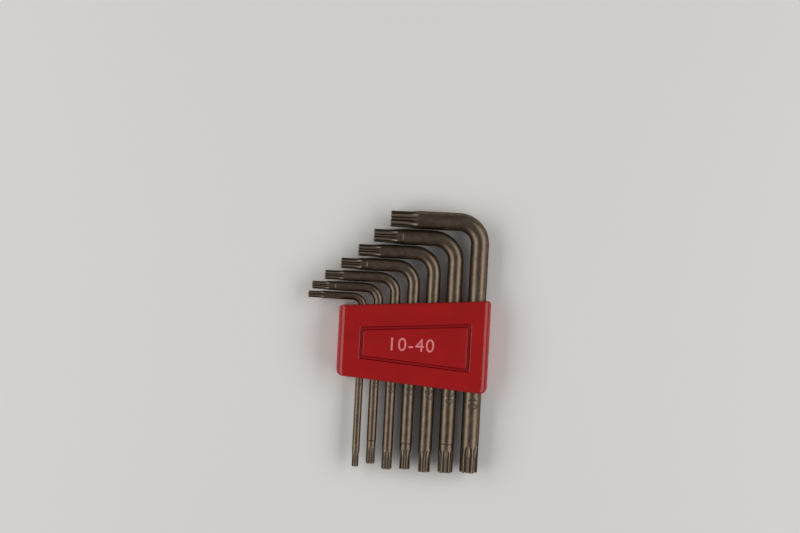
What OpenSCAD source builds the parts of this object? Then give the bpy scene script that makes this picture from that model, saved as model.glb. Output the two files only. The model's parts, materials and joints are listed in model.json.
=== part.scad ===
// A set of star keys: seven L-shaped steel keys with a six-lobed tip on both arms, carried side by
// side in a moulded holder of two shells. The set lies on the back of the holder.
// X runs across the row of keys, Y along the long arms towards the bends, Z up from the back face.
// The origin is the middle of the back face. Sizes are in millimetres, angles in degrees.

/* [Key 10] */
// Star across its points
star_10 = 2.74; // [2.5:0.02:2.76]
// Diameter of the bar
bar_10 = 2.8; // [2.78:0.02:3.4]
// Length of the long arm over the bend
long_10 = 64.3; // [55:0.1:90]
// Length of the short arm over the bend
short_10 = 21.9; // [18:0.1:30]
// Radius of the bend at the middle of the bar
bend_10 = 4.1; // [3.6:0.1:5]
// Turn of the long arm's star about the bar; at zero two lobes lie in the plane of the bend
turn_10 = 30; // [0:1:59]

/* [Key 15] */
// Star across its points
star_15 = 3.27; // [3:0.01:3.3]
// Diameter of the bar
bar_15 = 3.5; // [3.4:0.05:4]
// Length of the long arm over the bend
long_15 = 66.8; // [58:0.1:95]
// Length of the short arm over the bend
short_15 = 26.5; // [20:0.1:34]
// Radius of the bend at the middle of the bar
bend_15 = 5.1; // [4.4:0.1:6.2]
// Turn of the long arm's star about the bar; at zero two lobes lie in the plane of the bend
turn_15 = 0; // [0:1:59]
// Length of the turned neck behind each tip, up to its shoulder
neck_15 = 8.6; // [7.5:0.1:10]

/* [Key 20] */
// Star across its points
star_20 = 3.86; // [3.6:0.02:3.88]
// Diameter of the bar
bar_20 = 3.9; // [3.9:0.05:4.4]
// Length of the long arm over the bend
long_20 = 72.8; // [62:0.1:100]
// Length of the short arm over the bend
short_20 = 28.3; // [22:0.1:38]
// Radius of the bend at the middle of the bar
bend_20 = 5.7; // [4.9:0.1:7]
// Turn of the long arm's star about the bar; at zero two lobes lie in the plane of the bend
turn_20 = 0; // [0:1:59]

/* [Key 25] */
// Star across its points
star_25 = 4.43; // [4.1:0.01:4.5]
// Diameter of the bar
bar_25 = 4.65; // [4.55:0.05:5.2]
// Length of the long arm over the bend
long_25 = 77.3; // [66:0.1:105]
// Length of the short arm over the bend
short_25 = 29.6; // [24:0.1:40]
// Radius of the bend at the middle of the bar
bend_25 = 6.7; // [5.8:0.1:8.2]
// Turn of the long arm's star about the bar; at zero two lobes lie in the plane of the bend
turn_25 = 30; // [0:1:59]
// Length of the turned neck behind each tip, up to its shoulder
neck_25 = 9.6; // [8.6:0.1:11]

/* [Key 27] */
// Star across its points
star_27 = 4.99; // [4.7:0.01:5]
// Diameter of the bar
bar_27 = 5.05; // [5.05:0.05:5.6]
// Length of the long arm over the bend
long_27 = 83.3; // [70:0.1:110]
// Length of the short arm over the bend
short_27 = 30.9; // [26:0.1:42]
// Radius of the bend at the middle of the bar
bend_27 = 7.3; // [6.3:0.1:9]
// Turn of the long arm's star about the bar; at zero two lobes lie in the plane of the bend
turn_27 = 30; // [0:1:59]

/* [Key 30] */
// Star across its points
star_30 = 5.52; // [5.2:0.02:5.6]
// Diameter of the bar
bar_30 = 5.75; // [5.65:0.05:6.4]
// Length of the long arm over the bend
long_30 = 89.3; // [76:0.1:115]
// Length of the short arm over the bend
short_30 = 33.6; // [28:0.1:45]
// Radius of the bend at the middle of the bar
bend_30 = 8.3; // [7.2:0.1:10]
// Turn of the long arm's star about the bar; at zero two lobes lie in the plane of the bend
turn_30 = 0; // [0:1:59]
// Length of the turned neck behind each tip, up to its shoulder
neck_30 = 10.8; // [9.8:0.1:13]

/* [Key 40] */
// Star across its points
star_40 = 6.65; // [6.2:0.05:6.65]
// Diameter of the bar
bar_40 = 6.7; // [6.7:0.05:7.4]
// Length of the long arm over the bend
long_40 = 95.8; // [82:0.1:120]
// Length of the short arm over the bend
short_40 = 36.8; // [32:0.1:50]
// Radius of the bend at the middle of the bar
bend_40 = 8; // [7.8:0.1:12]
// Turn of the long arm's star about the bar; at zero two lobes lie in the plane of the bend
turn_40 = 10; // [0:1:59]

/* [Tips and bends] */
// Root of the star between its lobes, as a share of its width across the points
root_share = 0.72; // [0.7:0.005:0.74]
// Radius of a lobe, as a share of the width across the points
lobe_share = 0.081; // [0.075:0.001:0.086]
// Straight part of the flutes that every tip has
flute_l = 2.6; // [2:0.1:4]
// Straight part that the tip gains with its width across the points
flute_share = 0.41; // [0.3:0.01:0.7]
// Angle that the flutes have climbed to where their arcs leave the bar
runout_tilt = 22; // [18:1:34]
// Chamfer around the end of a tip
tip_chamfer = 0.3; // [0.1:0.05:0.5]
// Length of the small cone at a shoulder
shoulder_l = 0.35; // [0.2:0.05:0.8]
// Width of the turned groove at the foot of a shoulder
undercut_w = 0.24; // [0.1:0.02:0.5]
// Depth of that groove
undercut_depth = 0.06; // [0.02:0.01:0.15]
// Turn of the short arms' stars about the bar; at zero two lobes lie in the plane of the bend
short_turn = 30; // [0:1:59]
// Gap between the nested short arms
nest_gap = 0.3; // [0.2:0.05:1]

/* [Holder] */
// Height of the holder beside the smallest key
short_side_h = 25.7; // [22:0.1:30]
// Height of the holder beside the largest key
tall_side_h = 34.4; // [30:0.2:42]
// Thickness of the holder, front to back
holder_t = 11; // [10:0.5:15]
// Plastic beside the smallest key
margin_w = 7.3; // [5.5:0.1:12]
// Plastic beside the largest key
end_wall = 1.85; // [1.4:0.05:5]
// Plastic between one key and the next
web = 2.4; // [2:0.1:5]
// Rounding of the two long side edges
side_r = 3; // [1:0.1:4]
// Rounding of the upper and lower edges
rim_r = 1; // [0.4:0.1:1.8]
// Rounding of the two upper corners, seen from the front
upper_corner_r = 1.2; // [1.1:0.1:4]
// Rounding of the two lower corners
lower_corner_r = 2.5; // [1.1:0.1:4]

/* [Sunk frame on the front] */
// Distance of the frame from the edges of the front
frame_inset = 7.5; // [5:0.1:9]
// How far the frame sits from the middle, towards the largest key
frame_shift = 0.6; // [-1:0.1:1]
// How far the frame sits below the middle, towards the long tips
frame_drop = 0.5; // [-1:0.1:1]
// Width of the groove that draws the frame
frame_w = 1.5; // [0.8:0.1:2.5]
// Depth of the groove
frame_depth = 0.6; // [0.2:0.1:1]

/* [Channels for the keys] */
// Radial play between a bar and the lands that hold it
grip_play = 0.05; // [0.03:0.01:0.1]
// Length of the land at each end of a channel
land_l = 5; // [3:0.1:7]
// How much wider than a land the middle of a channel is, on the radius
relief = 0.4; // [0.2:0.05:0.6]
// Depth of the flared mouth at each end of a channel
mouth_l = 2.2; // [1.8:0.1:3]
// How much wider than a land the mouth is, on the radius
mouth_flare = 0.6; // [0.5:0.05:0.8]
// How far the smallest key's bend starts below its mouth
bend_dip = 1.25; // [0:0.05:1.5]

/* [Pegs that locate the shells] */
// Diameter of the pegs on the rear shell, beside the smallest key
margin_peg_d = 2.6; // [1.6:0.1:3.2]
// Diameter of the pegs in the last web
web_peg_d = 1.2; // [0.8:0.05:1.4]
// Length of a peg
peg_l = 3; // [2:0.1:3.6]
// Radial play of a peg in its socket
peg_play = 0.05; // [0.02:0.01:0.1]
// Free depth beyond a peg in its socket
peg_end_gap = 0.4; // [0.2:0.1:0.6]

/* [Hidden] */
$fn = 64;
steel = "#5f574d";
red_plastic = "#b3191d";

// Every cut runs past its face by this much
overrun = 0.5;
// How far the roundings of the rims and corners stand out, so that they cross the faces they round
edge_ease = 0.06;
// How far a lobe and its neighbouring flute cut into each other, so that their arcs cross
arc_bite = 0.004;
// Step between the star's lobes and the turned neck behind them
neck_step = 0.025;
// Step between the floor of a straight flute and its run-out
runout_step = 0.02;
// Width of a run-out's cutter, as a share of the flute's
runout_share = 0.97;
// Angle by which a run-out's cutter climbs on beyond the bar
runout_lead = 15;

stars = [star_10, star_15, star_20, star_25, star_27, star_30, star_40];
bars = [bar_10, bar_15, bar_20, bar_25, bar_27, bar_30, bar_40];
longs = [long_10, long_15, long_20, long_25, long_27, long_30, long_40];
shorts = [short_10, short_15, short_20, short_25, short_27, short_30, short_40];
// A neck of zero means that the bar runs plain up to the flutes
necks = [0, neck_15, 0, neck_25, 0, neck_30, 0];
last = len(bars) - 1;

function sum_to(v, i) = i < 0 ? 0 : v[i] + sum_to(v, i - 1);

holder_w = margin_w + sum_to(bars, last) + last * web + end_wall;
mid_z = holder_t / 2;
slope = atan2(tall_side_h - short_side_h, 2 * holder_w);
axis_x = [for (i = [0:last]) sum_to(bars, i - 1) + i * web + margin_w + bars[i] / 2 - holder_w / 2];
bend_r = [bend_10, bend_15, bend_20, bend_25, bend_27, bend_30, bend_40];
turns = [turn_10, turn_15, turn_20, turn_25, turn_27, turn_30, turn_40];

// Height of the holder's upper edge over its middle line; the lower edge mirrors it
function edge_y(x) = (short_side_h + tall_side_h) / 4 + x * tan(slope);

// Height of the short arms: each nests on the one before, and no bend starts deeper than bend_dip
function lowest_y(i) = edge_y(axis_x[i]) + bend_r[i] - bend_dip;
function stacked_y(i) = arm_y(i - 1) + (bars[i - 1] + bars[i]) / 2 + nest_gap;
function arm_y(i) = i == 0 ? lowest_y(i) : max(lowest_y(i), stacked_y(i));

// Sizes of a star: lobe and flute circles that meet in the line of their centres
function lobe_r(i) = stars[i] * lobe_share;
function lobe_centre(i) = stars[i] / 2 - lobe_r(i);
function root_r(i) = stars[i] * root_share / 2;
function flute_r(i) =
    let (c = lobe_centre(i), b = root_r(i), e = lobe_r(i), s = sqrt(3))
    (c * c + b * b - s * c * b - e * e) / (2 * e - 2 * b + s * c);
function tip_l(i) = flute_l + stars[i] * flute_share;

function polar(r, a) = [r * cos(a), r * sin(a)];

// Outline of a star with its lobes at the multiples of 60 degrees
module star_outline(i) {
    step = 60;
    flute_centre = root_r(i) + flute_r(i);
    corners = [
        for (a = [0:step:359]) each [polar(lobe_centre(i), a), polar(flute_centre, a + step / 2)]
    ];
    difference() {
        union() {
            polygon(corners);
            for (a = [0:step:359]) translate(polar(lobe_centre(i), a)) circle(r = lobe_r(i));
        }
        for (a = [0:step:359])
            translate(polar(flute_centre, a + step / 2)) circle(r = flute_r(i) + arc_bite);
    }
}

// One arm along +Z from the end of the bend, with its tip at the given length and its star turned
module arm(i, length, turn) {
    base = length - tip_l(i);
    bar_r = bars[i] / 2;
    neck_r = necks[i] > 0 ? stars[i] / 2 + neck_step : bar_r;
    shoulder = necks[i] > 0 ? length - necks[i] : base;
    point_r = stars[i] / 2 + neck_step;
    difference() {
        rotate_extrude()
            polygon(concat(
                [[0, base], [0, 0], [bar_r, 0]],
                necks[i] > 0
                    ? [
                        [bar_r, shoulder - shoulder_l],
                        [neck_r, shoulder],
                        [neck_r - undercut_depth, shoulder + undercut_w / 2],
                        [neck_r, shoulder + undercut_w],
                        [neck_r, base]
                    ]
                    : [[bar_r, base]]
            ));
        rotate(turn) runouts(i, base, neck_r);
    }
    intersection() {
        translate([0, 0, base - neck_step])
            linear_extrude(tip_l(i) + overrun) rotate(turn) star_outline(i);
        rotate_extrude()
            polygon([
                [0, base - overrun],
                [point_r, base - overrun],
                [point_r, length - tip_chamfer],
                [point_r - tip_chamfer, length],
                [0, length]
            ]);
    }
}

// Cutters that let the flutes climb out of the bar in an arc behind the straight part of a tip
module runouts(i, base, neck_r) {
    cutter_r = flute_r(i) * runout_share;
    floor_r = root_r(i) + runout_step;
    climb_r = (neck_r - root_r(i)) / (1 - cos(runout_tilt));
    lead = asin(overrun / (climb_r - cutter_r));
    for (a = [30:60:359])
        rotate(a) translate([floor_r + climb_r, 0, base]) rotate([90, 0, 0])
            rotate(180 - lead)
                rotate_extrude(angle = lead + runout_tilt + runout_lead)
                    translate([climb_r - cutter_r, 0]) circle(r = cutter_r);
}

// One key, lying in the middle plane of the holder with its long arm in its own channel
module star_key(i) {
    bar_r = bars[i] / 2;
    color(steel) translate([axis_x[i], arm_y(i) - bend_r[i], mid_z]) {
        translate([-bend_r[i], 0, 0])
            rotate_extrude(angle = 90) translate([bend_r[i], 0]) circle(r = bar_r);
        rotate([90, 0, 0]) arm(i, longs[i] - bar_r - bend_r[i], turns[i]);
        translate([-bend_r[i], bend_r[i], 0])
            rotate([90, 0, -90]) arm(i, shorts[i] - bar_r - bend_r[i], short_turn);
    }
}

module key_10() { star_key(0); }
module key_15() { star_key(1); }
module key_20() { star_key(2); }
module key_25() { star_key(3); }
module key_27() { star_key(4); }
module key_30() { star_key(5); }
module key_40() { star_key(6); }

// Rectangle from the middle of its lower edge, with rounded corners
module rounded_rect(w, h, r) {
    translate([r - w / 2, 0]) square([w - 2 * r, h]);
    translate([-w / 2, r]) square([w, h - 2 * r]);
    for (x = [r - w / 2, w / 2 - r], y = [r, h - r]) translate([x, y]) circle(r = r);
}

// Form of the closed holder with square corners: rounded sides, sloping and rounded rims
module holder_form() {
    intersection() {
        rotate([90, 0, 0])
            translate([0, 0, -tall_side_h])
                linear_extrude(2 * tall_side_h) rounded_rect(holder_w, holder_t, side_r);
        rim_slab();
        mirror([0, 1, 0]) rim_slab();
    }
}

// Everything below the sloping upper edge, with that edge rounded at the front and the back
module rim_slab() {
    reach = holder_w + tall_side_h;
    over = rim_r + edge_ease;
    translate([0, edge_y(0), 0]) rotate(slope) rotate([90, 0, 90])
        translate([0, 0, -reach / 2]) linear_extrude(reach) intersection() {
            translate([-reach, -overrun]) square([reach, holder_t + 2 * overrun]);
            translate([edge_ease - reach / 2, -edge_ease])
                rounded_rect(reach, holder_t + 2 * edge_ease, over);
        }
}

// Upper corner of an outline that follows the holder's edges at a distance; side is -1 or 1 in X
function inset_corner(inset, side) =
    let (x = side * (holder_w / 2 - inset))
    [x, edge_y(x) - inset / cos(slope)];

// The holder's front view with its corners rounded, anticlockwise from the lower left
module corner_outline() {
    radii = [lower_corner_r, lower_corner_r, upper_corner_r, upper_corner_r];
    flips = [[-1, -1], [1, -1], [1, 1], [-1, 1]];
    normals = [180, -90 - slope, 0, 90 + slope];
    sides = len(flips);
    centres = [
        for (k = [0:sides - 1])
            let (c = inset_corner(radii[k], flips[k].x)) [c.x, flips[k].y * c.y]
    ];
    polygon([
        for (k = [0:sides - 1], n = [k, (k + 1) % sides])
            centres[k] + polar(radii[k] + edge_ease, normals[n])
    ]);
    for (k = [0:sides - 1]) translate(centres[k]) circle(r = radii[k] + edge_ease / 2);
}

// Channel for one key: two lands, a relief between them and a flared mouth at each end
module channel(i) {
    grip_r = bars[i] / 2 + grip_play;
    half_l = edge_y(axis_x[i]);
    run = half_l - mouth_l - land_l;
    past = (grip_r + mouth_flare) * tan(slope) + overrun;
    flare = mouth_flare * (mouth_l + past) / mouth_l;
    translate([axis_x[i], 0, mid_z]) rotate([90, 0, 0]) {
        cylinder(h = 2 * (half_l + past), r = grip_r, center = true);
        cylinder(h = 2 * run, r = grip_r + relief, center = true);
        for (side = [0, 1]) mirror([0, 0, side])
            translate([0, 0, half_l - mouth_l])
                cylinder(h = mouth_l + past, r1 = grip_r, r2 = grip_r + flare);
    }
}

// Places and diameters of the pegs: two in the margin, two in the last web
peg_places = [
    [(margin_w - holder_w) / 2, margin_peg_d],
    [axis_x[last] - (bars[last] + web) / 2, web_peg_d]
];

// Pegs, or their sockets when they are drawn with play and free depth
module pegs(play, depth) {
    for (p = peg_places, side = [-1, 1])
        translate([p[0], side * (edge_y(p[0]) - mouth_l - land_l / 2), mid_z - play])
            cylinder(h = depth + play, d = p[1] + 2 * play);
}

// One half of the holder, upwards from the given height, with the channels cut into its open face
module shell(low_z) {
    intersection() {
        difference() {
            intersection() {
                holder_form();
                translate([-holder_w, -tall_side_h, low_z])
                    cube([2 * holder_w, 2 * tall_side_h, holder_t]);
            }
            for (i = [0:last]) channel(i);
        }
        translate([0, 0, -overrun]) linear_extrude(holder_t + 2 * overrun) corner_outline();
    }
}

// Outline that follows the edges of the front at a distance
module frame_outline(inset) {
    upper = [for (side = [-1, 1]) inset_corner(inset, side)];
    polygon([[upper[0].x, -upper[0].y], [upper[1].x, -upper[1].y], upper[1], upper[0]]);
}

// Groove that draws the frame on the front
module frame_groove() {
    translate([frame_shift, -frame_drop, holder_t - frame_depth]) linear_extrude(frame_depth + overrun)
        difference() {
            frame_outline(frame_inset);
            frame_outline(frame_inset + frame_w);
        }
}

module holder_front() {
    color(red_plastic) difference() {
        shell(mid_z);
        frame_groove();
        pegs(peg_play, peg_l + peg_end_gap);
    }
}

module holder_rear() {
    color(red_plastic) {
        shell(mid_z - holder_t);
        pegs(0, peg_l);
    }
}

holder_front();
holder_rear();
key_10();
key_15();
key_20();
key_25();
key_27();
key_30();
key_40();
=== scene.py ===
import json
import math
import bmesh
import bpy
from mathutils import Matrix, Vector


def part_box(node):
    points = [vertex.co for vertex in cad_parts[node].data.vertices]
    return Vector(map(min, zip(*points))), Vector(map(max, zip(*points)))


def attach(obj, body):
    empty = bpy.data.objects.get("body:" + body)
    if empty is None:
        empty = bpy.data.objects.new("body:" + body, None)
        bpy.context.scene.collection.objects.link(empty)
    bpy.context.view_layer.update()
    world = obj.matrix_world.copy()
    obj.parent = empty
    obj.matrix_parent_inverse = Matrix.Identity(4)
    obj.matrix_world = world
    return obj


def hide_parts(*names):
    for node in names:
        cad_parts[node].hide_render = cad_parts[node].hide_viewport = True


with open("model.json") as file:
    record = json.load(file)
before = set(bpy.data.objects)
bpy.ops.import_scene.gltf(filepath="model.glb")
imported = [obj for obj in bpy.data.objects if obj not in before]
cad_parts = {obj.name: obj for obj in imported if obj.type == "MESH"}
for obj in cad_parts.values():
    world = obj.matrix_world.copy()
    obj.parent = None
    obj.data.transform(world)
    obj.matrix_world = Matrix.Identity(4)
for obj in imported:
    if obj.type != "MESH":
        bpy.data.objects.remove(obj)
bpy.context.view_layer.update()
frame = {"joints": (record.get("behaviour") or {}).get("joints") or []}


# The camera hangs straight over the set, which lies a few degrees askew in the picture.
# The middle of the holder's back falls on a known pixel, and the scale holds in the keys' plane.
picture_w, picture_h = 800, 533
origin_pixel = (413.3, 343.4)
pixels_per_metre = 2700
askew = math.radians(3)
camera_height = 0.55

key_low, key_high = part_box("key_40")
mid_z = (key_low.z + key_high.z) / 2
right = (picture_w / 2 - origin_pixel[0]) / pixels_per_metre
up = (origin_pixel[1] - picture_h / 2) / pixels_per_metre
camera = bpy.data.objects.new("camera", bpy.data.cameras.new("camera"))
camera.data.lens = camera.data.sensor_width * camera_height * pixels_per_metre / picture_w
camera.location = (
    right * math.cos(askew) - up * math.sin(askew),
    right * math.sin(askew) + up * math.cos(askew),
    mid_z + camera_height,
)
camera.rotation_euler = (0, 0, askew)
bpy.context.scene.collection.objects.link(camera)
bpy.context.scene.camera = camera
bpy.context.scene.view_settings.view_transform = "Standard"


# The set lies on a wide pale table under a dim even sky. Two tall soft boxes stand left and right
# of it, and their reflections draw the pair of bright streaks along each round bar.
table_reach = 12
table_colour = (0.86, 0.86, 0.85, 1)
table_roughness, table_gloss = 0.9, 0.1
sky_colour = (0.19, 0.19, 0.195, 1)
box_reach, box_height = 0.64, 0.50
box_w, box_l = 0.52, 1.20
box_radiance = 2.05
box_tint = (1.0, 0.97, 0.93)

table_mesh = bpy.data.meshes.new("table")
table_corners = [(x, y, 0) for x, y in ((-1, -1), (1, -1), (1, 1), (-1, 1))]
table_mesh.from_pydata([table_reach * Vector(c) for c in table_corners], [], [(0, 1, 2, 3)])
table = bpy.data.objects.new("table", table_mesh)
bpy.context.scene.collection.objects.link(table)
table_paint = bpy.data.materials.new("table_paint")
table_paint.use_nodes = True
paint_inputs = table_paint.node_tree.nodes["Principled BSDF"].inputs
paint_inputs["Base Color"].default_value = table_colour
paint_inputs["Roughness"].default_value = table_roughness
paint_inputs["Specular IOR Level"].default_value = table_gloss
table_mesh.materials.append(table_paint)

sky = bpy.data.worlds.new("sky")
sky.use_nodes = True
sky.node_tree.nodes["Background"].inputs["Color"].default_value = sky_colour
bpy.context.scene.world = sky

for side, name in ((-1, "soft_box_left"), (1, "soft_box_right")):
    lamp = bpy.data.lights.new(name, "AREA")
    lamp.shape = "RECTANGLE"
    lamp.size, lamp.size_y = box_w, box_l
    lamp.energy = box_radiance * math.pi * box_w * box_l
    lamp.color = box_tint
    soft_box = bpy.data.objects.new(name, lamp)
    soft_box.location = (side * box_reach, 0, box_height)
    soft_box.rotation_euler = (0, side * math.atan2(box_reach, box_height), 0)
    bpy.context.scene.collection.objects.link(soft_box)


# The rear shell is a hard red plastic moulding, wedge-shaped in front view, with a half-round
# channel for each key in its open face. Its flat back is what the set lies on.
half_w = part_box("holder_rear")[1].x
front_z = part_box("holder_front")[1].z
parting_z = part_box("holder_front")[0].z
short_side_h, tall_side_h = 0.0257, 0.0344
slope = math.atan2((tall_side_h - short_side_h) / 2, 2 * half_w)
side_r, rim_r = 0.0030, 0.0010
upper_corner_r, lower_corner_r = 0.0012, 0.0025
seam = 0.00012
grip_play = 0.00005
mouth_l, mouth_flare = 0.0022, 0.0006
corner_steps, round_steps = 10, 8
mouth_steps, channel_sides = 6, 72
shell_crease = 32


def edge_y(x):
    """Half the holder's height at a distance x from its middle."""
    return (short_side_h + tall_side_h) / 4 + x * math.tan(slope)


def ease(value, low, high):
    """0 below low, 1 above high, smooth in between."""
    share = min(1.0, max(0.0, (value - low) / (high - low)))
    return share * share * (3 - 2 * share)


def holder_ring(side_inset, rim_inset, upper_r, lower_r, side_z, rim_z):
    """Points around the holder at a distance from its sides and rims, with rounded corners."""
    turns = (0, math.pi / 2 + slope, math.pi, 1.5 * math.pi - slope, 2 * math.pi)
    corners = ((1, 1, upper_r), (-1, 1, upper_r), (-1, -1, lower_r), (1, -1, lower_r))
    points = []
    for corner, (across, along, radius) in enumerate(corners):
        x = across * (half_w - side_inset - radius)
        y = along * (edge_y(x) - (rim_inset + radius) / math.cos(slope))
        for step in range(corner_steps + 1):
            share = step / corner_steps
            angle = turns[corner] + share * (turns[corner + 1] - turns[corner])
            to_rim = share if corner % 2 == 0 else 1 - share
            z = side_z + ease(to_rim, 0, 1) * (rim_z - side_z)
            points.append(Vector((x + radius * math.cos(angle), y + radius * math.sin(angle), z)))
    return points


def wall_ring(inset, z):
    """A ring around the holder's upright wall."""
    return holder_ring(inset, inset, upper_corner_r - inset, lower_corner_r - inset, z, z)


def rounded_rings(flat_z, towards):
    """Rings of the edge rounding from the wall to a flat face; towards is +1 for the front."""
    rings = []
    for step in range(round_steps + 1):
        angle = step / round_steps * math.pi / 2
        inward, rise = 1 - math.cos(angle), 1 - math.sin(angle)
        rings.append(
            holder_ring(
                side_r * inward, rim_r * inward,
                upper_corner_r - rim_r * inward, lower_corner_r - rim_r * inward,
                flat_z - towards * side_r * rise, flat_z - towards * rim_r * rise,
            )
        )
    return rings


def ring_object(name, rings):
    """A closed mesh of quads between equal rings, with a flat face on the first and the last."""
    bm = bmesh.new()
    loops = [[bm.verts.new(point) for point in ring] for ring in rings]
    for low, high in zip(loops, loops[1:]):
        for k in range(len(low)):
            bm.faces.new((low[k - 1], low[k], high[k], high[k - 1]))
    bm.faces.new(loops[0])
    bm.faces.new(loops[-1])
    bmesh.ops.recalc_face_normals(bm, faces=bm.faces)
    mesh = bpy.data.meshes.new(name)
    bm.to_mesh(mesh)
    bm.free()
    made = bpy.data.objects.new(name, mesh)
    bpy.context.scene.collection.objects.link(made)
    return made


def bar_radius(key_node):
    """The radius of a key's round bar."""
    low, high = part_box(key_node)
    return (high.z - low.z) / 2


def channel_rings(axis_x, bar_r):
    """Rings along a key's channel, from below the lower rim to above the upper one."""
    mouth_shares = [-1] + [step / mouth_steps for step in range(mouth_steps + 1)]
    stations = []
    for share in mouth_shares:
        flare = mouth_flare * (1 - share) ** 2
        stations.append((edge_y(axis_x) - share * mouth_l, bar_r + grip_play + flare))
    turns = [2 * math.pi * k / channel_sides for k in range(channel_sides)]
    rings = []
    for y, r in [(-y, r) for y, r in stations] + stations[::-1]:
        rings.append([(axis_x + r * math.cos(a), y, mid_z + r * math.sin(a)) for a in turns])
    return rings


def cut_channels(shell):
    """Cuts every key's channel out of a shell."""
    for joint in frame["joints"]:
        rings = channel_rings(joint["pos_m"][0], bar_radius(joint["child"]))
        cutter = ring_object("cutter", rings)
        cut = shell.modifiers.new("channel", "BOOLEAN")
        cut.operation = "DIFFERENCE"
        cut.solver = "EXACT"
        cut.object = cutter
        bpy.context.view_layer.update()
        evaluated = shell.evaluated_get(bpy.context.evaluated_depsgraph_get())
        shell.data = bpy.data.meshes.new_from_object(evaluated)
        shell.modifiers.clear()
        bpy.data.objects.remove(cutter)


def smooth(piece, crease):
    """Smooth shading with crisp edges above the crease angle, and flat faces kept flat."""
    for face in piece.data.polygons:
        face.use_smooth = True
    piece.data.set_sharp_from_angle(angle=math.radians(crease))
    weighted = piece.modifiers.new("flat_faces", "WEIGHTED_NORMAL")
    weighted.keep_sharp = True


class Wire:
    """One output of a material's nodes. Arithmetic on it adds Math nodes."""

    def __init__(self, tree, socket=None):
        self.tree = tree
        self.socket = socket

    def node(self, kind, settings, inputs, output=0):
        """Adds a node with its settings and with values or links on its sockets."""
        made = self.tree.nodes.new(kind)
        for name, value in settings.items():
            setattr(made, name, value)
        for name, value in inputs.items():
            if isinstance(value, Wire):
                self.tree.links.new(value.socket, made.inputs[name])
            else:
                made.inputs[name].default_value = value
        return Wire(self.tree, made.outputs[output])

    def maths(self, operation, first, second):
        return self.node("ShaderNodeMath", {"operation": operation}, {0: first, 1: second})

    def __add__(self, other):
        return self.maths("ADD", self, other)

    def __radd__(self, other):
        return self.maths("ADD", other, self)

    def __sub__(self, other):
        return self.maths("SUBTRACT", self, other)

    def __rsub__(self, other):
        return self.maths("SUBTRACT", other, self)

    def __mul__(self, other):
        return self.maths("MULTIPLY", self, other)

    def __rmul__(self, other):
        return self.maths("MULTIPLY", other, self)

    def between(self, low, high):
        """0 below low, 1 above high, smooth in between."""
        ends = {"Value": self, "From Min": low, "From Max": high}
        return self.node("ShaderNodeMapRange", {"interpolation_type": "SMOOTHSTEP"}, ends)

    def blend(self, first, second):
        """The first colour where this is 0, the second where it is 1."""
        return self.node("ShaderNodeMix", {"data_type": "RGBA"}, {0: self, 6: first, 7: second}, 2)

    def scaled(self, factors):
        """A vector multiplied part by part."""
        return self.node("ShaderNodeVectorMath", {"operation": "MULTIPLY"}, {0: self, 1: factors})

    def noise(self, cells=1.0, detail=2.0):
        """Cloudy noise at this place, around 0.5, with so many cells to the unit."""
        inputs = {"Vector": self, "Scale": cells, "Detail": detail}
        return self.node("ShaderNodeTexNoise", {}, inputs)

    def bump(self, height, strength, distance=0.0001):
        """A normal that tilts as if the surface rose and fell by the distance."""
        inputs = {"Height": height, "Strength": strength, "Distance": distance}
        return self.node("ShaderNodeBump", {}, inputs)

    def object_place(self):
        """The place in the object's own metres."""
        return self.node("ShaderNodeTexCoord", {}, {}, "Object")

    def stored(self, name, output="Fac"):
        """What a mesh stores at its points under this name, and 0 where it stores nothing."""
        return self.node("ShaderNodeAttribute", {"attribute_name": name}, {}, output)


def new_material(name):
    """A node material and a wire to start from."""
    material = bpy.data.materials.new(name)
    material.use_nodes = True
    return material, Wire(material.node_tree)


def dress(material, colour, rough, skin):
    """Feeds a colour, a roughness and a normal to a material's shader."""
    shader = material.node_tree.nodes["Principled BSDF"]
    for wire, name in ((colour, "Base Color"), (rough, "Roughness"), (skin, "Normal")):
        material.node_tree.links.new(wire.socket, shader.inputs[name])
    return shader


red, deep_red = (0.41, 0.0050, 0.0060, 1), (0.36, 0.0040, 0.0050, 1)
floor_red, groove_shade_red = (0.32, 0.0030, 0.0050, 1), (0.13, 0.0010, 0.0020, 1)
cloud_cells, swell_cells, ripple_cells, grain_cells = 90, 170, 600, 5200
cloud_range = (0.3, 0.7)
scuff_cells, scuff_range = (420, 60, 420), (0.60, 0.78)
floor_range, wall_top_range, wall_foot_range = (0.6, 1.0), (0.1, 0.4), (0.7, 0.98)
gloss, cloud_dulling, scuff_dulling = 0.15, 0.07, 0.12
swell_relief, ripple_relief, grain_relief = 0.5, 0.35, 0.03
plastic_relief = 0.6

plastic, start = new_material("holder_red_plastic")
place = start.object_place()
cloud = place.noise(cloud_cells, detail=3.0)
scuff = place.scaled(scuff_cells).noise(detail=4.0).between(*scuff_range)
sunk = start.stored("sunk")
colour = cloud.between(*cloud_range).blend(deep_red, red)
colour = sunk.between(*floor_range).blend(colour, floor_red)
# Painted shade: the frame groove's walls are darkened to a deep red.
wall = sunk.between(*wall_top_range) - sunk.between(*wall_foot_range)
colour = wall.blend(colour, groove_shade_red)
rough = gloss + cloud_dulling * cloud + scuff_dulling * scuff
height = grain_relief * place.noise(grain_cells) + ripple_relief * place.noise(ripple_cells)
height += swell_relief * place.noise(swell_cells)
dress(plastic, colour, rough, start.bump(height, plastic_relief))

rear_rings = rounded_rings(0, -1)[::-1]
rear_rings += [wall_ring(0, parting_z - seam), wall_ring(seam, parting_z)]
rear_shell = ring_object("rear_shell", rear_rings)
cut_channels(rear_shell)
smooth(rear_shell, shell_crease)
rear_shell.data.materials.append(plastic)
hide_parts("holder_rear")
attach(rear_shell, "holder")


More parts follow.
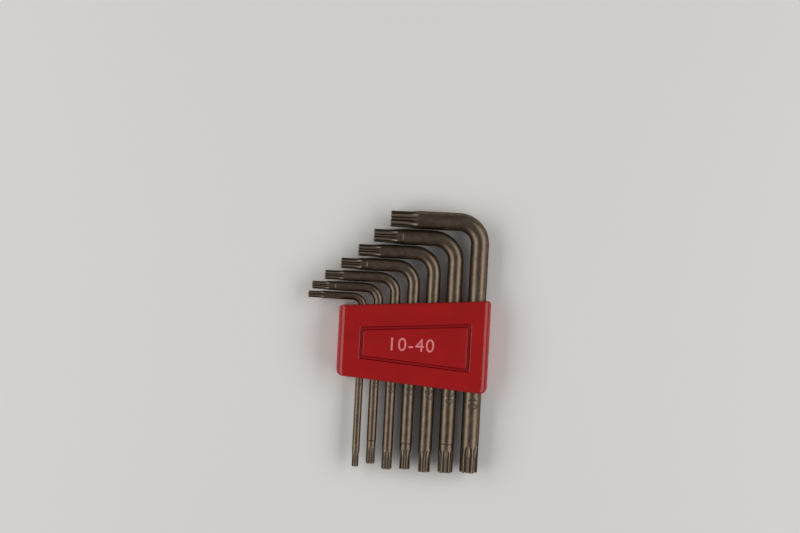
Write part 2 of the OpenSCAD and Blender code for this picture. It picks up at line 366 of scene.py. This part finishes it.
# The keys are bent steel bars with a satin, dark warm-grey finish. Both ends are forged to a
# six-lobed star whose flutes run out into the bar; three sizes have a turned neck with a shoulder.
star_widths = {
    10: 0.00274, 15: 0.00327, 20: 0.00386, 25: 0.00443, 27: 0.00499, 30: 0.00552, 40: 0.00665,
}
bend_radii = {
    10: 0.0041, 15: 0.0051, 20: 0.0057, 25: 0.0067, 27: 0.0073, 30: 0.0083, 40: 0.0080,
}
long_turns = {10: 30, 15: 0, 20: 0, 25: 30, 27: 30, 30: 0, 40: 10}
short_turn = 30
root_share, lobe_share = 0.72, 0.081
flute_l, flute_share = 0.0026, 0.41
runout_tilt = math.radians(22)
tip_chamfer = 0.0003
neck_lengths = {15: 0.0086, 25: 0.0096, 30: 0.0108}
neck_step, shoulder_l = 0.000025, 0.00035
undercut_w, undercut_depth = 0.00024, 0.00006
key_crease = 34

# Where the rings of a key's mesh stand: over the lobes and flutes, along the tip and along the bar.
lobe_steps, flute_steps = 4, 16
chamfer_shares, undercut_shares = (0, 0.07, 0.35, 0.7, 1, 1.3), (-1.5, -1, -0.5, 0)
straight_share, runout_share = 2, 1.05
straight_steps, runout_steps, bend_steps = 4, 16, 30
bar_step = 0.0030

# Colour painted on a tip, and its roughness: a painted highlight on its crests and flute floors,
# strongest where the flutes run out, and on its end's chamfer, which is also worn; painted shade on
# its flute walls; rougher forged floors.
# The pairs are shares of a flute's depth, of its run-out or of the chamfer, between which a trace
# comes or goes.
crest_shine, floor_shine, wall_shade_strength = 0.3, 0.5, 0.97
floor_shares, wall_top_shares, wall_foot_shares = (0.65, 0.95), (0.03, 0.15), (0.75, 0.97)
runout_lift_share = 0.3
shine_shares, wall_end_shares, forged_end_shares = (0.2, 0.7), (0.75, 1), (0, 0.4)
worn_glint_shares = (0.7, 1.5)
least_depth = 0.000002


class Star:
    """The six-lobed outline of a tip, and how its flutes climb out of the bar behind it."""

    lobes = 6
    sector = 2 * math.pi / lobes

    def __init__(self, width, neck_r):
        self.neck_r = neck_r
        self.point_r = width / 2
        self.lobe_r = width * lobe_share
        self.root_r = width * root_share / 2
        self.lobe_at = self.point_r - self.lobe_r
        cos_half, sin_half = math.cos(self.sector / 2), math.sin(self.sector / 2)
        # A flute arc touches the root circle in its middle and a lobe arc at either end.
        root_to_lobe = self.lobe_at**2 + self.root_r**2 - 2 * self.lobe_at * self.root_r * cos_half
        spare = self.lobe_at * cos_half - self.root_r + self.lobe_r
        self.flute_r = (root_to_lobe - self.lobe_r**2) / (2 * spare)
        self.flute_at = self.root_r + self.flute_r
        meet_x, meet_y = self.flute_at * cos_half - self.lobe_at, self.flute_at * sin_half
        share = self.lobe_r / math.hypot(meet_x, meet_y)
        self.meet = math.atan2(share * meet_y, self.lobe_at + share * meet_x)
        self.tip_l = flute_l + width * flute_share
        self.climb_r = (neck_r - self.root_r) / (1 - math.cos(runout_tilt))
        self.runout_l = self.climb_r * math.sin(runout_tilt)

    def angles(self):
        """Angles around the bar, closest together over the lobes; a lobe is at zero."""
        lobe = [self.meet * k / lobe_steps for k in range(-lobe_steps, lobe_steps)]
        flute_turn = self.sector - 2 * self.meet
        flute = [self.meet + flute_turn * k / flute_steps for k in range(flute_steps)]
        return [self.sector * n + a for n in range(self.lobes) for a in lobe + flute]

    def radius(self, angle, t):
        """Radius at an angle, at a distance t behind the end of the tip."""
        off_lobe = abs((angle + self.sector / 2) % self.sector - self.sector / 2)
        off_flute = self.sector / 2 - off_lobe
        climb = min(max(0.0, t - self.tip_l), self.climb_r)
        near = min(off_lobe, self.meet)
        lobe = self.lobe_at * math.cos(near)
        lobe += math.sqrt(max(0.0, self.lobe_r**2 - (self.lobe_at * math.sin(near)) ** 2))
        r = lobe + (self.neck_r - lobe) * ease(climb, 0, self.runout_l)
        centre = self.flute_at + self.climb_r - math.sqrt(self.climb_r**2 - climb**2)
        side = centre * math.sin(off_flute)
        if abs(side) < self.flute_r:
            r = min(r, centre * math.cos(off_flute) - math.sqrt(self.flute_r**2 - side**2))
        return min(r, self.neck_r, self.point_r + neck_step - tip_chamfer + t)

    def finish(self, depth, t):
        """How much painted highlight and wear, how much painted shade and how roughly forged a tip
        is, at a share of a flute's depth.
        """
        fade = min(1.0, max(0.0, (t - self.tip_l) / self.runout_l))
        lifted = depth + runout_lift_share * fade
        # The end's chamfer is lighter, partly as real wear and partly as a painted glint.
        worn_and_glint = 1 - ease(t / tip_chamfer, *worn_glint_shares)
        floor = ease(lifted, *floor_shares)
        # Painted shade: the flute walls are darkened.
        wall = ease(depth, *wall_top_shares) - ease(lifted, *wall_foot_shares)
        wall *= 1 - ease(fade, *wall_end_shares)
        # Painted highlight: bright steel on the crests and the flute floors, strongest towards the
        # run-out's end.
        shine = floor_shine + (1 - floor_shine) * ease(fade, *shine_shares)
        wear_and_highlight = max(worn_and_glint, crest_shine * (1 - fade) * (1 - depth) + shine * floor)
        forged = floor * (1 - ease(fade, *forged_end_shares))
        return wear_and_highlight, wall_shade_strength * wall * (1 - worn_and_glint), forged


def tip_stations(star, neck_l):
    """Distances from the end of a tip at which the bar gets a ring."""
    straight_t = straight_share * tip_chamfer
    stations = [share * tip_chamfer for share in chamfer_shares]
    for k in range(straight_steps + 1):
        stations.append(straight_t + (star.tip_l - straight_t) * k / straight_steps)
    for k in range(1, runout_steps + 1):
        stations.append(star.tip_l + star.runout_l * runout_share * k / runout_steps)
    if neck_l:
        stations += [neck_l + share * undercut_w for share in undercut_shares]
        stations += [neck_l + shoulder_l, neck_l + shoulder_l + undercut_w / 2]
    return sorted(stations)


def arm_stations(tip, arm_l):
    """The tip's distances, followed by those along the plain bar of an arm up to its bend."""
    plain_steps = range(1, int((arm_l - tip[-1]) / bar_step))
    return tip + [tip[-1] + bar_step * k for k in plain_steps]


def key_stations(tip, long_l, bend_l, short_l):
    """Distances along a key's middle line, from the end of its long arm to that of its short arm."""
    whole = long_l + bend_l + short_l
    bend = [long_l + bend_l * k / bend_steps for k in range(bend_steps + 1)]
    short_arm = [whole - t for t in reversed(arm_stations(tip, short_l))]
    return arm_stations(tip, long_l) + bend + short_arm


def middle_line(s, long_l, bend_r, bend_centre):
    """A key's middle at a distance s along it, the way out of its bend, and the share bent."""
    bend_l = bend_r * math.pi / 2
    bent = min(1.0, max(0.0, (s - long_l) / bend_l))
    out = Vector((math.cos(bent * math.pi / 2), math.sin(bent * math.pi / 2), 0))
    straight = Vector((-max(0.0, s - long_l - bend_l), min(0.0, s - long_l), 0))
    return bend_centre + bend_r * out + straight, out, bent


def key_object(size):
    """One key as a sleeve of rings along its bent middle line, with its unbent place stored."""
    low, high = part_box(f"key_{size}")
    bar_r = bar_radius(f"key_{size}")
    bend_r = bend_radii[size]
    bend_l = bend_r * math.pi / 2
    long_l = high.y - low.y - bar_r - bend_r
    short_l = high.x - low.x - bar_r - bend_r
    bend_centre = Vector((high.x - bar_r - bend_r, high.y - bar_r - bend_r, mid_z))
    neck_l = neck_lengths.get(size, 0)
    neck_r = star_widths[size] / 2 + neck_step if neck_l else bar_r
    star = Star(star_widths[size], neck_r)
    angles = star.angles()
    rings, unbent, wear_and_highlight, painted_shade, forged = [], [], [], [], []
    for s in key_stations(tip_stations(star, neck_l), long_l, bend_l, short_l):
        middle, out, bent = middle_line(s, long_l, bend_r, bend_centre)
        twist = math.radians(long_turns[size] + bent * (short_turn - long_turns[size]))
        t = min(s, long_l + bend_l + short_l - s)
        undercut = max(0.0, 1 - abs(2 * (t - neck_l) / undercut_w + 1)) if neck_l else 0
        crest_r = star.radius(0, t)
        sunk = crest_r - star.radius(star.sector / 2, t)
        ring = []
        for a in angles:
            r = star.radius(a, t)
            depth = (crest_r - r) / sunk if sunk > least_depth else 0
            shine, painted_wall_shade, dullness = star.finish(depth, t)
            wear_and_highlight.append(shine)
            # Painted shade: the undercut below a neck's shoulder is darkened as its shadow line.
            painted_shade.append(max(painted_wall_shade, undercut))
            forged.append(dullness)
            if neck_l and t > neck_l:
                r = min(bar_r, neck_r + (bar_r - neck_r) * (t - neck_l) / shoulder_l)
            r -= undercut * undercut_depth
            across, upward = r * math.cos(a + twist), r * math.sin(a + twist)
            ring.append(middle + across * out + Vector((0, 0, upward)))
            unbent += (s, across, upward)
        rings.append(ring)
    made = ring_object(f"star_key_{size}", rings)
    made.data.attributes.new("unbent", "FLOAT_VECTOR", "POINT").data.foreach_set("vector", unbent)
    for name, values in (("wear_and_highlight", wear_and_highlight), ("painted_shade", painted_shade), ("forged", forged)):
        made.data.attributes.new(name, "FLOAT", "POINT").data.foreach_set("value", values)
    return made


steel_dark, steel_mid = (0.125, 0.094, 0.068, 1), (0.215, 0.166, 0.124, 1)
# The dark colour of the painted shade, and the bright colour of the painted highlight and wear.
steel_bright, steel_shade = (0.32, 0.262, 0.208, 1), (0.030, 0.022, 0.016, 1)
steel_edge = (0.45, 0.41, 0.37, 1)
drawn_cells = (90, 3200, 3200)
mottle_cells, speckle_cells, pit_cells = 420, 1300, 3600
mottle_share, drawn_share, speckle_share = 0.34, 0.40, 0.26
tone_range, shade_cover = (0.33, 0.67), 0.95
satin, mottle_dulling, drawn_dulling, forged_dulling, shade_dulling = 0.28, 0.14, 0.06, 0.28, 0.15
drawn_relief, pit_relief, steel_relief = 0.6, 0.5, 0.16

steel, start = new_material("key_satin_steel")
place = start.stored("unbent", "Vector")
wear_and_highlight, painted_shade, forged = start.stored("wear_and_highlight"), start.stored("painted_shade"), start.stored("forged")
drawn = place.scaled(drawn_cells).noise(detail=3.0)
mottle = place.noise(mottle_cells, detail=3.0)
tone = mottle_share * mottle + drawn_share * drawn + speckle_share * place.noise(speckle_cells)
colour = tone.between(*tone_range).blend(steel_dark, steel_mid)
# Painted highlight on the tips, with real wear on their chamfered ends, lightens the steel.
colour = wear_and_highlight.blend(colour, steel_bright)
# Painted shade darkens the flute walls and the undercuts, and makes them a little rougher.
colour = (shade_cover * painted_shade).blend(colour, steel_shade)
rough = satin + mottle_dulling * mottle + drawn_dulling * drawn
rough += forged_dulling * forged + shade_dulling * painted_shade
height = drawn_relief * drawn + pit_relief * place.noise(pit_cells)
shader = dress(steel, colour, rough, start.bump(height, steel_relief))
shader.inputs["Metallic"].default_value = 1.0
shader.inputs["Specular Tint"].default_value = steel_edge

for size in star_widths:
    key = key_object(size)
    smooth(key, key_crease)
    key.data.materials.append(steel)
    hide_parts(f"key_{size}")
    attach(key, f"key_{size}")


# The front shell closes the channels. It is moulded from the same red plastic, welded to the rear
# shell along the fine seam around the sides, and a sunk frame runs parallel to its edges.
frame_inset, frame_w, frame_depth = 0.0075, 0.0015, 0.0006
frame_shift, frame_drop = 0.0006, 0.0005
frame_corner_r, panel_drop = 0.0004, 0.00005
frame_reach_share = 0.8
groove_shares = (
    (-0.12, 0), (-0.03, 0.04), (0.06, 0.17), (0.13, 0.5), (0.18, 0.83), (0.26, 1),
    (0.74, 1), (0.82, 0.83), (0.87, 0.5), (0.94, 0.2), (1.03, 0.1),
    (1.12, panel_drop / frame_depth),
)


def sunk_share(point):
    """How deep a point of the front lies in the sunk frame, from 0 at its edges to 1 on its floor."""
    beside = abs(point.x) >= half_w - frame_inset + frame_shift + panel_drop
    beyond = abs(point.y) >= edge_y(point.x) - frame_reach_share * frame_inset
    if beside or beyond:
        return 0.0
    return min(1.0, max(0.0, (front_z - panel_drop - point.z) / frame_depth))


front_rings = [wall_ring(seam, parting_z), wall_ring(0, parting_z + seam)]
front_rings += rounded_rings(front_z, 1)
for inward, deep in groove_shares:
    inset, z = frame_inset + inward * frame_w, front_z - deep * frame_depth
    ring = holder_ring(inset, inset, frame_corner_r, frame_corner_r, z, z)
    front_rings.append([point + Vector((frame_shift, -frame_drop, 0)) for point in ring])
front_shell = ring_object("front_shell", front_rings)
cut_channels(front_shell)
depths = [sunk_share(v.co) for v in front_shell.data.vertices]
front_shell.data.attributes.new("sunk", "FLOAT", "POINT").data.foreach_set("value", depths)
smooth(front_shell, shell_crease)
front_shell.data.materials.append(plastic)
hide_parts("holder_front")
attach(front_shell, "holder")


# The range of sizes is pad-printed on the panel inside the frame, in plain numerals.
# The white ink is thin, so that the red plastic tints it.
mark_h, mark_spacing = 0.0068, 1.12
mark_x, mark_y = -0.0009, -0.0006
ink_film = 0.00003
ink_pale, ink_thin = (0.84, 0.27, 0.285, 1), (0.72, 0.20, 0.215, 1)
cover_cells, cover_range = 900, (0.35, 0.6)
ink_gloss, cover_dulling = 0.38, 0.2
ink_grain_cells, ink_relief = 2500, 0.05


def number_object(name, body, height, spacing, film):
    """Plain numerals as a closed flat film, centred on the origin and facing +Z."""
    curve = bpy.data.curves.new(name, "FONT")
    curve.body = body
    curve.size = height
    curve.space_character = spacing
    curve.extrude = film / 2
    curve.align_x, curve.align_y = "CENTER", "CENTER"
    source = bpy.data.objects.new("numerals", curve)
    bpy.context.scene.collection.objects.link(source)
    bpy.context.view_layer.update()
    evaluated = source.evaluated_get(bpy.context.evaluated_depsgraph_get())
    mesh = bpy.data.meshes.new_from_object(evaluated)
    bpy.data.objects.remove(source)
    made = bpy.data.objects.new(name, mesh)
    bpy.context.scene.collection.objects.link(made)
    return made


ink, start = new_material("pale_ink")
place = start.object_place()
cover = place.noise(cover_cells, detail=3.0)
colour = cover.between(*cover_range).blend(ink_thin, ink_pale)
rough = ink_gloss + cover_dulling * cover
dress(ink, colour, rough, start.bump(place.noise(ink_grain_cells), ink_relief))

mark = number_object("size_range", "10-40", mark_h, mark_spacing, ink_film)
mark_z = front_z - panel_drop + ink_film / 2
mark.data.transform(Matrix.Translation((mark_x, mark_y, mark_z)))
mark.data.materials.append(ink)
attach(mark, "holder")


# Each long arm has its size laser-marked on the bar just below the holder, reading along the bar.
# The mark is a dark oxide film that follows the round of the bar.
etch_share, etch_spacing = 0.75, 1.1
etch_film, etch_weld = 0.000024, 0.000003
etch_gap, etch_slices = 0.0012, 16
etch_dark, etch_worn = (0.020, 0.016, 0.013, 1), (0.060, 0.047, 0.036, 1)
wear_cells, wear_range = 2600, (0.4, 0.65)
etch_gloss, wear_dulling = 0.45, 0.25
etch_grain_cells, etch_relief = 9000, 0.1


def wrap_on_bar(number, axis_x, bar_r, top_y):
    """Slices flat numerals lengthwise and bends them round a bar, to read down it from top_y."""
    bm = bmesh.new()
    bm.from_mesh(number.data)
    bmesh.ops.remove_doubles(bm, verts=bm.verts, dist=etch_weld)
    reach = max(abs(v.co.y) for v in bm.verts)
    first = min(v.co.x for v in bm.verts)
    for cut in range(1, etch_slices):
        level = Vector((0, reach * (2 * cut / etch_slices - 1), 0))
        everything = bm.verts[:] + bm.edges[:] + bm.faces[:]
        bmesh.ops.bisect_plane(bm, geom=everything, plane_co=level, plane_no=(0, 1, 0))
    for v in bm.verts:
        turn, r = v.co.y / bar_r, bar_r + v.co.z
        x, z = axis_x + r * math.sin(turn), mid_z + r * math.cos(turn)
        v.co = Vector((x, top_y - v.co.x + first, z))
    bm.to_mesh(number.data)
    bm.free()


etch, start = new_material("etched_mark")
place = start.object_place()
wear = place.noise(wear_cells, detail=3.0)
colour = wear.between(*wear_range).blend(etch_dark, etch_worn)
rough = etch_gloss + wear_dulling * wear
dress(etch, colour, rough, start.bump(place.noise(etch_grain_cells), etch_relief))

for joint in frame["joints"]:
    size = joint["child"].split("_")[1]
    axis_x, bar_r = joint["pos_m"][0], bar_radius(joint["child"])
    etch_h = 2 * bar_r * etch_share
    number = number_object(f"size_mark_{size}", size, etch_h, etch_spacing, etch_film)
    wrap_on_bar(number, axis_x, bar_r, -edge_y(axis_x) - etch_gap)
    number.data.materials.append(etch)
    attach(number, joint["child"])
